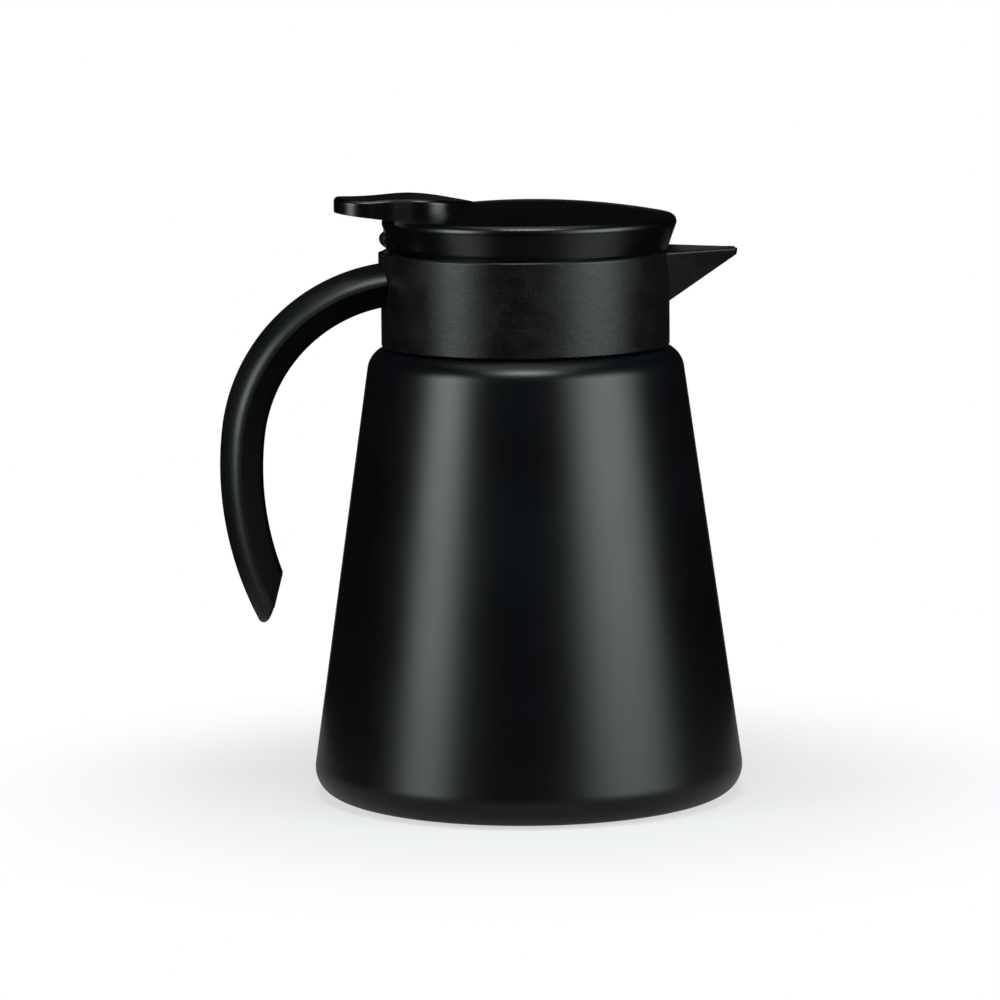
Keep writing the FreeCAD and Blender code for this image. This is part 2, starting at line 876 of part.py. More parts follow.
def lid_cover():
    outside = lid_outside()
    solid = outside.fuse(lever()).cut(lid_inside())
    solid = solid.cut(hinge_notch(lid_foot - lid_seam, notch_top))
    web_x = (hinge_x - pin_radius, hinge_x + knuckle_radius)
    web_top = notch_top + lid_wall / 2
    for side in (-1, 1):
        y = sorted((side * knuckle_inner, side * knuckle_outer))
        web = box(web_x, y, (hinge_z, web_top)).common(pillar(-hinge_x + knuckle_radius, 0, web_top))
        solid = solid.fuse([web, hinge_rod(knuckle_radius, side, knuckle_inner, knuckle_outer)])
        solid = solid.cut(hinge_rod(pin_radius + pin_fit_clearance, side, 0, knuckle_outer + hinge_side_gap))
    pad_half = ear_inner - 2 * hinge_side_gap
    pad_low = hinge_z + coil_radius + wire_radius + spring_touch
    pad_x = (hinge_x - spring_lid_leg - wire_radius, hinge_x)
    solid = solid.fuse(box(pad_x, (-pad_half, pad_half), (pad_low, web_top)))
    for spot in lid_screw_points(liner_flange_top):
        boss = rod(boss_radius, spot, spot + UP * (dome_top - liner_flange_top)).common(outside)
        solid = solid.fuse(boss)
        depth = lid_screw_reach - liner_wall + thread_clearance
        solid = solid.cut(rod(lid_screw_radius + thread_clearance, spot, spot + UP * depth))
    return solid.removeSplitter()


def lid_liner():
    boss = stopper_bore + stopper_edge - ring_gap
    solid = turned([
        (0, gasket_top - liner_boss_drop, 0),
        (boss, gasket_top - liner_boss_drop, 0),
        (boss, gasket_top, 0),
        (liner_plug_radius, gasket_top, 0),
        (liner_plug_radius, liner_flange_top, 0),
        (liner_plug_radius - liner_wall, liner_flange_top, 0),
        (liner_plug_radius - liner_wall, liner_floor_top, 0),
        (0, liner_floor_top, 0),
    ])
    flange = pillar(liner_flange_radius, liner_flange_bottom, liner_flange_top)
    flange.translate(Vec(lid_offset, 0, 0))
    solid = solid.fuse(flange.cut(pillar(liner_plug_radius - liner_wall, 0, liner_flange_top)))
    solid = solid.cut(hinge_notch(liner_flange_bottom - liner_wall, liner_flange_top + liner_wall))
    for spot in lid_screw_points(liner_flange_bottom):
        solid = solid.cut(rod(lid_screw_radius + thread_clearance, spot, spot + UP * liner_wall))
    return solid.removeSplitter()


def lid_gasket():
    inner = stopper_bore + stopper_edge
    outer = liner_plug_radius + lid_gasket_lap
    return turned([
        (inner, seat_height, 0),
        (outer, seat_height, lid_gasket_lap / 2),
        (outer, gasket_top, lid_gasket_lap / 2),
        (inner, gasket_top, 0),
    ])


def lid_foam():
    radius = liner_plug_radius - liner_wall - foam_clearance
    return ring(0, radius, liner_floor_top, dome_height(radius) - lid_wall - foam_head_gap)


def lid_screws():
    pieces = []
    for spot in lid_screw_points(liner_flange_bottom):
        head = rod(lid_screw_head_radius, spot - UP * lid_screw_head, spot)
        pieces.append(head.fuse(rod(lid_screw_radius, spot, spot + UP * lid_screw_reach)).removeSplitter())
    return Part.makeCompound(pieces)


def hinge_pin():
    half = knuckle_outer - pin_end_inset
    return rod(pin_radius, Vec(hinge_x, -half, hinge_z), Vec(hinge_x, half, hinge_z))


def coil_point(turns):
    """Point on the spring's coil after a number of turns."""
    angle = 2 * math.pi * turns
    y = (turns - coil_turns / 2) * coil_pitch
    return Vec(hinge_x + coil_radius * math.cos(angle), y, hinge_z + coil_radius * math.sin(angle))


def coil_heading(turns):
    """Direction of the wire after a number of turns."""
    angle = 2 * math.pi * turns
    girth = 2 * math.pi * coil_radius
    heading = Vec(-math.sin(angle) * girth, coil_pitch, math.cos(angle) * girth)
    return heading.normalize()


def tangent_arc(start, corner, end):
    """Arc from start to end whose tangents meet at corner."""
    middle = (start + end) * 0.5
    rise = corner - middle
    half_chord = start.distanceToPoint(end) / 2
    sag = half_chord * math.tan(math.atan2(rise.Length, half_chord) / 2)
    return Part.Arc(start, middle + rise.normalize() * sag, end).toShape()


def biarc(start, start_heading, end, end_heading):
    """Two arcs that leave start and reach end along the given headings."""
    span = end - start
    total = start_heading + end_heading
    spread = 2 * (1 - start_heading.dot(end_heading))
    along = span.dot(total)
    length = (math.sqrt(along ** 2 + spread * span.dot(span)) - along) / spread
    first = start + start_heading * length
    second = end - end_heading * length
    meet = (first + second) * 0.5
    return [tangent_arc(start, first, meet), tangent_arc(meet, second, end)]


def least_coil_gap():
    """Least clear space between the wire of one turn and of the next ones, on sampled points."""
    count = round(coil_turns * gap_samples_per_turn)
    points = [coil_point(i / gap_samples_per_turn) for i in range(count + 1)]
    apart = gap_samples_per_turn // 2
    spans = []
    for i, point in enumerate(points):
        spans.extend(point.distanceToPoint(other) for other in points[i + apart:])
    return min(spans) - 2 * wire_radius


def hinge_spring():
    """Torsion spring: a leg down the stopper's plate, the coil round the pin, a leg under the lid."""
    steps = round(coil_turns * biarcs_per_turn)
    up = UP
    back = Vec(-1, 0, 0)
    start = coil_point(0)
    edges = [Part.LineSegment(start - up * spring_leg, start).toShape()]
    for step in range(steps):
        turns = step * coil_turns / steps
        after = (step + 1) * coil_turns / steps
        head = up if step == 0 else coil_heading(turns)
        tail = back if step == steps - 1 else coil_heading(after)
        edges.extend(biarc(coil_point(turns), head, coil_point(after), tail))
    end = coil_point(coil_turns)
    edges.append(Part.LineSegment(end, end + back * spring_lid_leg).toShape())
    path = Part.Wire(edges)
    print(f"hinge_spring: least gap between turns {least_coil_gap():.2f} mm")
    profile = Part.Wire(Part.Circle(start - up * spring_leg, up, wire_radius).toShape())
    return path.makePipeShell([profile], True, False)


NODES = [
    outer_shell, outer_base, vacuum_bead, base_cover, foot_ring, inner_flask, inner_base, getter,
    collar, neck_gasket, handle_shell, handle_cover, handle_inserts, handle_screws,
    stopper_ring, stopper_seal, hinge_spring,
    lid_cover, lid_liner, lid_gasket, lid_foam, lid_screws, hinge_pin,
]


def main():
    os.makedirs("parts", exist_ok=True)
    for node in NODES:
        shape = node()
        name = node.__name__
        shape.exportStep(f"parts/{name}.step")
        print(f"{name}: {len(shape.Solids)} solid, {shape.Volume / 1000:.2f} cm3, valid {shape.isValid()}")


if __name__ == "__main__":
    main()
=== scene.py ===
"""Looks of the insulated pouring jug: finishes, fine parts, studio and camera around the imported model.

Metres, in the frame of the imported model: the origin is the middle of the foot on the table, +Z is up,
the handle points to -X and the spout to +X.
"""
import bmesh
import bpy
import math
from mathutils import Matrix, Vector

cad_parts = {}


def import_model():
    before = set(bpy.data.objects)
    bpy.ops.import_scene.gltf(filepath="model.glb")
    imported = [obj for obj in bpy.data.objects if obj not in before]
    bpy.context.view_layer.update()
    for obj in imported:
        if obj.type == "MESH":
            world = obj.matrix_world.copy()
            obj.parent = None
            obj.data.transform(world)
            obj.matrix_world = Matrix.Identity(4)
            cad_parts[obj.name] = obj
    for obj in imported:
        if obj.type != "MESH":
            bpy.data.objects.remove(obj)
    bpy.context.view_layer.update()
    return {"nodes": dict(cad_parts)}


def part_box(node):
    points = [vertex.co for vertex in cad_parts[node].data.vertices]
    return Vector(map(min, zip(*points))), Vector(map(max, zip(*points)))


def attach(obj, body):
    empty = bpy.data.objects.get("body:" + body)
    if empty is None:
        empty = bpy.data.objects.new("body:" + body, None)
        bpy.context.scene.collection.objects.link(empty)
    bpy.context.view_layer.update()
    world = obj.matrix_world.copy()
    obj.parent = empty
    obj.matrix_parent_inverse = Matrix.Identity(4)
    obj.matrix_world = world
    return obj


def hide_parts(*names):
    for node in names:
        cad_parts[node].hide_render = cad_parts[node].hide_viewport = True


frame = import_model()
nodes = frame["nodes"]

# Camera: a long lens that looks down a little, from slightly to the handle's side of the front
IMAGE_SIZE = 1000
SENSOR = 36.0
FOCAL_PIXELS = 5000.0
CAMERA_DISTANCE = 1.8
CAMERA_AIM = Vector((0, 0, 0.1116))
AIM_PIXEL = (526.74, 484.87)
CAMERA_AZIMUTH = math.radians(-6.8)
CAMERA_ELEVATION = math.radians(7.65)
CAMERA_ROLL = math.radians(0.46)

# Studio
FLOOR_RADIUS = 0.24
FLOOR_STEPS = 96
FLOOR_NEAR = 0.06
FLOOR_FAR = 0.23
FLOOR_LEAST = 0.6
FLOOR_MIRRORED = 0.2
FLOOR_COLOUR = (0.86, 0.86, 0.86, 1)
WORLD_LIGHT = 0.006
BACKDROP_DROP = math.radians(10)
BACKDROP_WHITE = math.radians(7)
BACKDROP_EDGE = math.radians(12)
CEILING_EDGE = math.radians(58)
CEILING_WHITE = math.radians(72)
LAMP_AIM = (0, 0, 0.12)
LAMP_DISTANCE = 1.3
LAMP_SOFT_SHARE = 0.45
LAMP_COLOUR = (0.91, 0.985, 1.0, 1)

# Finishes
DUST_COLOUR = (0.16, 0.16, 0.16, 1)
WORN_SHARE = 0.82
WIDE_GRAIN_SHARE = 0.22

# Steel body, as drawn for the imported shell
FOOT_RADIUS = 0.0788
SHOULDER_RADIUS = 0.0557
SHOULDER_HEIGHT = 0.1625
FOOT_CORNER = 0.0095
SHOULDER_CORNER = 0.009
NECK_RADIUS = 0.0468
NECK_TOP = 0.1712
NECK_CORNER = 0.001
BASE_RADIUS = 0.058
BASE_LEVEL = 0.0006
STEEL_WALL = 0.0008
SUPPORT = 0.001

# Screws
RECESS_ARM = 0.62
RECESS_SLOT = 0.15
RECESS_TAPER = 0.55
RECESS_TURN = math.radians(4)
HANDLE_SCREW_SHANK_SHARE = 0.52
HANDLE_SCREW_RECESS_SHARE = 0.4
HANDLE_SCREW_TURN = 0.4
LID_SCREW_HEAD = 0.0023
LID_SCREW_HEAD_HEIGHT = 0.0015
LID_SCREW_SHANK = 0.0012
LID_SCREW_FLAT_SHARE = 0.75
LID_SCREW_ROUND_SHARE = 0.22
LID_SCREW_RECESS_SHARE = 0.45
LID_SCREW_CIRCLE = 0.0439
LID_SCREW_SWEEP = math.radians(110)
LID_OFFSET = 0.0016

# Meshes
WELD = 1e-7
MATCH = 1e-6
SPIN_STEPS = 192
SCREW_STEPS = 32
CORNER_SEGMENTS = 14
SHARP_ANGLE = math.radians(38)


def camera():
    """Camera at the photograph's angle, with the small shift of its framing."""
    azimuth, elevation = CAMERA_AZIMUTH, CAMERA_ELEVATION
    right = Vector((math.cos(azimuth), math.sin(azimuth), 0))
    back = Vector((math.sin(azimuth) * math.cos(elevation), -math.cos(azimuth) * math.cos(elevation),
                   math.sin(elevation)))
    up = back.cross(right)
    turn = Matrix((right, up, back)).transposed().to_4x4()
    data = bpy.data.cameras.new("camera")
    data.sensor_width = SENSOR
    data.lens = FOCAL_PIXELS / IMAGE_SIZE * SENSOR
    data.shift_x = (IMAGE_SIZE / 2 - AIM_PIXEL[0]) / IMAGE_SIZE
    data.shift_y = (AIM_PIXEL[1] - IMAGE_SIZE / 2) / IMAGE_SIZE
    eye = bpy.data.objects.new("camera", data)
    place = Matrix.Translation(CAMERA_AIM + back * CAMERA_DISTANCE)
    eye.matrix_world = place @ turn @ Matrix.Rotation(-CAMERA_ROLL, 4, "Z")
    bpy.context.scene.collection.objects.link(eye)
    bpy.context.scene.camera = eye


def new_material(name):
    """Empty node material and its tree."""
    material = bpy.data.materials.new(name)
    material.use_nodes = True
    material.node_tree.nodes.clear()
    return material, material.node_tree


def add(tree, kind, **values):
    """New node with its properties and input values set."""
    node = tree.nodes.new(kind)
    for key, value in values.items():
        if hasattr(node, key):
            setattr(node, key, value)
        else:
            node.inputs[key.replace("_", " ")].default_value = value
    return node


def join(tree, source, target):
    """Link two sockets."""
    tree.links.new(source, target)


def either(tree, first, second):
    """The larger of two masks."""
    node = add(tree, "ShaderNodeMath", operation="MAXIMUM")
    join(tree, first, node.inputs[0])
    join(tree, second, node.inputs[1])
    return node.outputs[0]


def both(tree, first, second):
    """Two masks multiplied."""
    node = add(tree, "ShaderNodeMath", operation="MULTIPLY")
    join(tree, first, node.inputs[0])
    join(tree, second, node.inputs[1])
    return node.outputs[0]


def one_over(tree, value):
    """One divided by a value, such as the noise scale for a size."""
    node = add(tree, "ShaderNodeMath", operation="DIVIDE")
    node.inputs[0].default_value = 1.0
    join(tree, value, node.inputs[1])
    return node.outputs[0]


def softbox(name, azimuth, elevation, size, radiance):
    """Rectangular lamp with soft edges that faces the jug from a bearing, where 0 is the camera's side."""
    bearing = math.radians(azimuth) + CAMERA_AZIMUTH
    lift = math.radians(elevation)
    out = Vector((math.sin(bearing) * math.cos(lift), -math.cos(bearing) * math.cos(lift), math.sin(lift)))
    data = bpy.data.lights.new(name, "AREA")
    data.shape = "RECTANGLE"
    data.size, data.size_y = size
    data.energy = radiance * math.pi * size[0] * size[1]
    data.use_nodes = True
    tree = data.node_tree
    tree.nodes.clear()
    place = add(tree, "ShaderNodeNewGeometry")
    sides = add(tree, "ShaderNodeSeparateXYZ")
    join(tree, place.outputs["Parametric"], sides.inputs[0])
    fades = []
    for side in ("X", "Y"):
        across = add(tree, "ShaderNodeMath", operation="SUBTRACT")
        across.inputs[1].default_value = 0.5
        join(tree, sides.outputs[side], across.inputs[0])
        from_middle = add(tree, "ShaderNodeMath", operation="ABSOLUTE")
        join(tree, across.outputs[0], from_middle.inputs[0])
        fade = add(tree, "ShaderNodeMapRange", interpolation_type="SMOOTHSTEP",
                   From_Min=0.5 - LAMP_SOFT_SHARE, From_Max=0.5, To_Min=1.0, To_Max=0.0)
        join(tree, from_middle.outputs[0], fade.inputs["Value"])
        fades.append(fade.outputs[0])
    light = add(tree, "ShaderNodeEmission", Color=LAMP_COLOUR)
    join(tree, both(tree, *fades), light.inputs["Strength"])
    end = add(tree, "ShaderNodeOutputLight")
    join(tree, light.outputs[0], end.inputs["Surface"])
    lamp = bpy.data.objects.new(name, data)
    turn = out.to_track_quat("Z", "Y").to_matrix().to_4x4()
    lamp.matrix_world = Matrix.Translation(Vector(LAMP_AIM) + out * LAMP_DISTANCE) @ turn
    bpy.context.scene.collection.objects.link(lamp)


def world():
    """White to the eye; reflections and clear things see a white ceiling and backdrop in a dark room."""
    surroundings = bpy.data.worlds.new("studio")
    surroundings.use_nodes = True
    tree = surroundings.node_tree
    tree.nodes.clear()
    path = add(tree, "ShaderNodeLightPath")
    place = add(tree, "ShaderNodeTexCoord")
    towards = add(tree, "ShaderNodeVectorMath", operation="DOT_PRODUCT")
    towards.inputs[1].default_value = (-math.sin(CAMERA_AZIMUTH) * math.cos(BACKDROP_DROP),
                                       math.cos(CAMERA_AZIMUTH) * math.cos(BACKDROP_DROP),
                                       -math.sin(BACKDROP_DROP))
    join(tree, place.outputs["Generated"], towards.inputs[0])
    backdrop = add(tree, "ShaderNodeMapRange", From_Min=math.cos(BACKDROP_EDGE),
                   From_Max=math.cos(BACKDROP_WHITE))
    join(tree, towards.outputs["Value"], backdrop.inputs["Value"])
    height = add(tree, "ShaderNodeSeparateXYZ")
    join(tree, place.outputs["Generated"], height.inputs[0])
    ceiling = add(tree, "ShaderNodeMapRange", From_Min=math.sin(CEILING_EDGE),
                  From_Max=math.sin(CEILING_WHITE))
    join(tree, height.outputs["Z"], ceiling.inputs["Value"])
    pale = either(tree, backdrop.outputs[0], ceiling.outputs[0])
    mirrored = either(tree, path.outputs["Is Glossy Ray"], path.outputs["Is Transmission Ray"])
    seen = either(tree, path.outputs["Is Camera Ray"], both(tree, mirrored, pale))
    white = add(tree, "ShaderNodeBackground", Color=(1, 1, 1, 1), Strength=1.0)
    dim = add(tree, "ShaderNodeBackground", Color=(1, 1, 1, 1), Strength=WORLD_LIGHT)
    mix = add(tree, "ShaderNodeMixShader")
    join(tree, seen, mix.inputs[0])
    join(tree, dim.outputs[0], mix.inputs[1])
    join(tree, white.outputs[0], mix.inputs[2])
    out = add(tree, "ShaderNodeOutputWorld")
    join(tree, mix.outputs[0], out.inputs["Surface"])
    bpy.context.scene.world = surroundings


def floor():
    """Round pale floor that keeps the shadow near the jug and runs into the white further out."""
    bm = bmesh.new()
    bmesh.ops.create_circle(bm, cap_ends=True, segments=FLOOR_STEPS, radius=FLOOR_RADIUS)
    mesh = bpy.data.meshes.new("floor")
    bm.to_mesh(mesh)
    bm.free()
    ground = bpy.data.objects.new("floor", mesh)
    bpy.context.scene.collection.objects.link(ground)
    material, tree = new_material("pale floor")
    diffuse = add(tree, "ShaderNodeBsdfDiffuse", Color=FLOOR_COLOUR)
    white = add(tree, "ShaderNodeEmission")
    place = add(tree, "ShaderNodeTexCoord")
    distance = add(tree, "ShaderNodeVectorMath", operation="LENGTH")
    join(tree, place.outputs["Object"], distance.inputs[0])
    fade = add(tree, "ShaderNodeMapRange", interpolation_type="SMOOTHSTEP", From_Min=FLOOR_NEAR,
               From_Max=FLOOR_FAR, To_Min=FLOOR_LEAST)
    join(tree, distance.outputs["Value"], fade.inputs["Value"])
    path = add(tree, "ShaderNodeLightPath")
    mirrored = either(tree, path.outputs["Is Glossy Ray"], path.outputs["Is Transmission Ray"])
    seen = either(tree, path.outputs["Is Camera Ray"], mirrored)
    mix = add(tree, "ShaderNodeMixShader")
    join(tree, both(tree, fade.outputs[0], seen), mix.inputs[0])
    mirrored_white = add(tree, "ShaderNodeMapRange", To_Min=1.0, To_Max=FLOOR_MIRRORED)
    join(tree, path.outputs["Is Glossy Ray"], mirrored_white.inputs["Value"])
    join(tree, mirrored_white.outputs[0], white.inputs["Strength"])
    join(tree, diffuse.outputs[0], mix.inputs[1])
    join(tree, white.outputs[0], mix.inputs[2])
    out = add(tree, "ShaderNodeOutputMaterial")
    join(tree, mix.outputs[0], out.inputs["Surface"])
    mesh.materials.append(material)


def group(name, inputs, outputs):
    """Shader node group with its sockets; returns the tree and its two end nodes."""
    tree = bpy.data.node_groups.new(name, "ShaderNodeTree")
    for label, value in inputs.items():
        socket = tree.interface.new_socket(label, in_out="INPUT", socket_type="NodeSocketFloat")
        socket.default_value = value
    for label in outputs:
        tree.interface.new_socket(label, in_out="OUTPUT", socket_type="NodeSocketFloat")
    return tree, tree.nodes.new("NodeGroupInput"), tree.nodes.new("NodeGroupOutput")


def fine_grain_group():
    """Even fine texture of a moulded or powder-coated skin: height of the grain."""
    tree, given, put = group("Fine grain", {"Size": 0.0006, "Soft share": 0.5}, ["Height"])
    place = add(tree, "ShaderNodeTexCoord")
    scale = one_over(tree, given.outputs["Size"])
    fine = add(tree, "ShaderNodeTexNoise", Detail=2.0, Roughness=0.6)
    join(tree, place.outputs["Object"], fine.inputs["Vector"])
    join(tree, scale, fine.inputs["Scale"])
    wide_scale = add(tree, "ShaderNodeMath", operation="MULTIPLY")
    wide_scale.inputs[1].default_value = WIDE_GRAIN_SHARE
    join(tree, scale, wide_scale.inputs[0])
    wide = add(tree, "ShaderNodeTexNoise", Detail=1.0)
    join(tree, place.outputs["Object"], wide.inputs["Vector"])
    join(tree, wide_scale.outputs[0], wide.inputs["Scale"])
    blend = add(tree, "ShaderNodeMix", data_type="FLOAT")
    join(tree, given.outputs["Soft share"], blend.inputs[0])
    join(tree, fine.outputs["Fac"], blend.inputs[2])
    join(tree, wide.outputs["Fac"], blend.inputs[3])
    join(tree, blend.outputs[0], put.inputs["Height"])
    return tree


def handling_group():
    """Marks of use: cloudy patches and thin level scuffs, as two masks from 0 to 1."""
    tree, given, put = group("Handling marks", {"Patch size": 0.03, "Scuff size": 0.002},
                             ["Patches", "Scuffs"])
    place = add(tree, "ShaderNodeTexCoord")
    patches = add(tree, "ShaderNodeTexNoise", Detail=4.0, Roughness=0.62)
    join(tree, place.outputs["Object"], patches.inputs["Vector"])
    join(tree, one_over(tree, given.outputs["Patch size"]), patches.inputs["Scale"])
    spread = add(tree, "ShaderNodeMapRange", From_Min=0.36, From_Max=0.66)
    join(tree, patches.outputs["Fac"], spread.inputs["Value"])
    join(tree, spread.outputs[0], put.inputs["Patches"])
    stretch = add(tree, "ShaderNodeMapping")
    stretch.inputs["Scale"].default_value = (0.06, 0.06, 1.0)
    stretch.inputs["Rotation"].default_value = (0.04, 0.03, 0)
    join(tree, place.outputs["Object"], stretch.inputs["Vector"])
    scuffs = add(tree, "ShaderNodeTexNoise", Detail=3.0, Roughness=0.7)
    join(tree, stretch.outputs[0], scuffs.inputs["Vector"])
    join(tree, one_over(tree, given.outputs["Scuff size"]), scuffs.inputs["Scale"])
    thin = add(tree, "ShaderNodeMapRange", From_Min=0.56, From_Max=0.74)
    join(tree, scuffs.outputs["Fac"], thin.inputs["Value"])
    join(tree, thin.outputs[0], put.inputs["Scuffs"])
    return tree


def specks_group():
    """Dust and short scratches in loose clusters, as one mask from 0 to 1."""
    tree, given, put = group("Dust and scratches", {"Speck size": 0.0007, "Cluster size": 0.012}, ["Specks"])
    place = add(tree, "ShaderNodeTexCoord")
    masks = []
    for label, low, high, turn in (("Speck size", 0.60, 0.72, 0.5), ("Cluster size", 0.44, 0.66, 0.0)):
        tilt = add(tree, "ShaderNodeMapping")
        tilt.inputs["Rotation"].default_value = (turn, turn, turn)
        tilt.inputs["Scale"].default_value = (0.5 + turn, 0.5 + turn, 1.0 - turn)
        join(tree, place.outputs["Object"], tilt.inputs["Vector"])
        cloud = add(tree, "ShaderNodeTexNoise", Detail=2.0, Roughness=0.6)
        join(tree, tilt.outputs[0], cloud.inputs["Vector"])
        join(tree, one_over(tree, given.outputs[label]), cloud.inputs["Scale"])
        cut = add(tree, "ShaderNodeMapRange", From_Min=low, From_Max=high)
        join(tree, cloud.outputs["Fac"], cut.inputs["Value"])
        masks.append(cut.outputs[0])
    join(tree, both(tree, *masks), put.inputs["Specks"])
    return tree


def placed(tree, group_tree, **values):
    """A group in a material, with its own values."""
    node = tree.nodes.new("ShaderNodeGroup")
    node.node_tree = group_tree
    for key, value in values.items():
        node.inputs[key.replace("_", " ")].default_value = value
    return node


def moulded(name, dark, light, rough, grain_size, grain_depth, patch=0.03, scuff=0.002, scuff_share=0.3,
            specular=0.5, sheen=0.0, dust=0.0):
    """Skin of one colour with grain, patches, scuffs and dust: powder coat, plastic, rubber or silicone."""
    material, tree = new_material(name)
    shader = add(tree, "ShaderNodeBsdfPrincipled")
    shader.inputs["Specular IOR Level"].default_value = specular
    shader.inputs["Sheen Weight"].default_value = sheen
    marks = placed(tree, HANDLING, Patch_size=patch, Scuff_size=scuff)
    tone = add(tree, "ShaderNodeMix", data_type="RGBA")
    tone.inputs[6].default_value = (*dark, 1)
    tone.inputs[7].default_value = (*light, 1)
    share = add(tree, "ShaderNodeMath", operation="MULTIPLY_ADD")
    share.inputs[1].default_value = scuff_share
    join(tree, marks.outputs["Scuffs"], share.inputs[0])
    patches = add(tree, "ShaderNodeMath", operation="MULTIPLY")
    patches.inputs[1].default_value = 1 - scuff_share
    join(tree, marks.outputs["Patches"], patches.inputs[0])
    join(tree, patches.outputs[0], share.inputs[2])
    join(tree, share.outputs[0], tone.inputs[0])
    specks = placed(tree, SPECKS)
    dusted = add(tree, "ShaderNodeMath", operation="MULTIPLY")
    dusted.inputs[1].default_value = dust
    join(tree, specks.outputs["Specks"], dusted.inputs[0])
    skin = add(tree, "ShaderNodeMix", data_type="RGBA")
    skin.inputs[7].default_value = DUST_COLOUR
    join(tree, dusted.outputs[0], skin.inputs[0])
    join(tree, tone.outputs[2], skin.inputs[6])
    join(tree, skin.outputs[2], shader.inputs["Base Color"])
    gloss = add(tree, "ShaderNodeMapRange", To_Min=rough[0], To_Max=rough[1])
    join(tree, share.outputs[0], gloss.inputs["Value"])
    join(tree, gloss.outputs[0], shader.inputs["Roughness"])
    grain = placed(tree, GRAIN, Size=grain_size)
    bump = add(tree, "ShaderNodeBump", Strength=1.0, Distance=grain_depth)
    join(tree, grain.outputs["Height"], bump.inputs["Height"])
    join(tree, bump.outputs[0], shader.inputs["Normal"])
    out = add(tree, "ShaderNodeOutputMaterial")
    join(tree, shader.outputs[0], out.inputs["Surface"])
    return material


def turned_metal(name, colour, rough, line_size, line_depth, turned=True):
    """Bare metal with the fine lines that turning or drawing leaves."""
    material, tree = new_material(name)
    shader = add(tree, "ShaderNodeBsdfPrincipled", Metallic=1.0)
    place = add(tree, "ShaderNodeTexCoord")
    stretch = add(tree, "ShaderNodeMapping")
    stretch.inputs["Scale"].default_value = (0.02, 0.02, 1.0) if turned else (1.0, 0.05, 1.0)
    join(tree, place.outputs["Object"], stretch.inputs["Vector"])
    lines = add(tree, "ShaderNodeTexNoise", Scale=1 / line_size, Detail=3.0, Roughness=0.65)
    join(tree, stretch.outputs[0], lines.inputs["Vector"])
    gloss = add(tree, "ShaderNodeMapRange", To_Min=rough[0], To_Max=rough[1])
    join(tree, lines.outputs["Fac"], gloss.inputs["Value"])
    join(tree, gloss.outputs[0], shader.inputs["Roughness"])
    tone = add(tree, "ShaderNodeMix", data_type="RGBA")
    tone.inputs[6].default_value = (*[part * WORN_SHARE for part in colour], 1)
    tone.inputs[7].default_value = (*colour, 1)
    marks = placed(tree, HANDLING, Patch_size=0.012, Scuff_size=0.0015)
    join(tree, marks.outputs["Patches"], tone.inputs[0])
    join(tree, tone.outputs[2], shader.inputs["Base Color"])
    bump = add(tree, "ShaderNodeBump", Strength=1.0, Distance=line_depth)
    join(tree, lines.outputs["Fac"], bump.inputs["Height"])
    join(tree, bump.outputs[0], shader.inputs["Normal"])
    out = add(tree, "ShaderNodeOutputMaterial")
    join(tree, shader.outputs[0], out.inputs["Surface"])
    return material


def spun(profile, steps):
    """Open shell of revolution about Z through points (radius, height), seam and poles closed."""
    bm = bmesh.new()
    line = [bm.verts.new((radius, 0, height)) for radius, height in profile]
    runs = [bm.edges.new(pair) for pair in zip(line, line[1:])]
    bmesh.ops.spin(bm, geom=line + runs, cent=(0, 0, 0), axis=(0, 0, 1), angle=2 * math.pi, steps=steps,
                   use_merge=True)
    bmesh.ops.remove_doubles(bm, verts=bm.verts[:], dist=WELD)
    bmesh.ops.recalc_face_normals(bm, faces=bm.faces[:])
    return bm


def round_ring(bm, radius, height, corner, turn):
    """Rounds the level ring of edges at a radius and height, where the profile turns by an angle."""
    ring = []
    for edge in bm.edges:
        places = [vert.co for vert in edge.verts]
        if all(abs(co.z - height) < MATCH and abs(co.xy.length - radius) < MATCH for co in places):
            ring.append(edge)
    bmesh.ops.bevel(bm, geom=ring, offset=corner * math.tan(turn / 2), offset_type="OFFSET",
                    segments=CORNER_SEGMENTS, profile=0.5, affect="EDGES", material=-1)


def piece(name, bm, material, body, slot, *stands_for):
    """Finished piece from a bmesh: smooth with sharp corners, with its finish and its body. The slot is not
    used.
    """
    mesh = bpy.data.meshes.new(name)
    bm.to_mesh(mesh)
    bm.free()
    mesh.shade_smooth()
    mesh.set_sharp_from_angle(angle=SHARP_ANGLE)
    mesh.materials.append(material)
    thing = bpy.data.objects.new(name, mesh)
    bpy.context.scene.collection.objects.link(thing)
    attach(thing, body)
    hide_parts(*stands_for)
    return thing


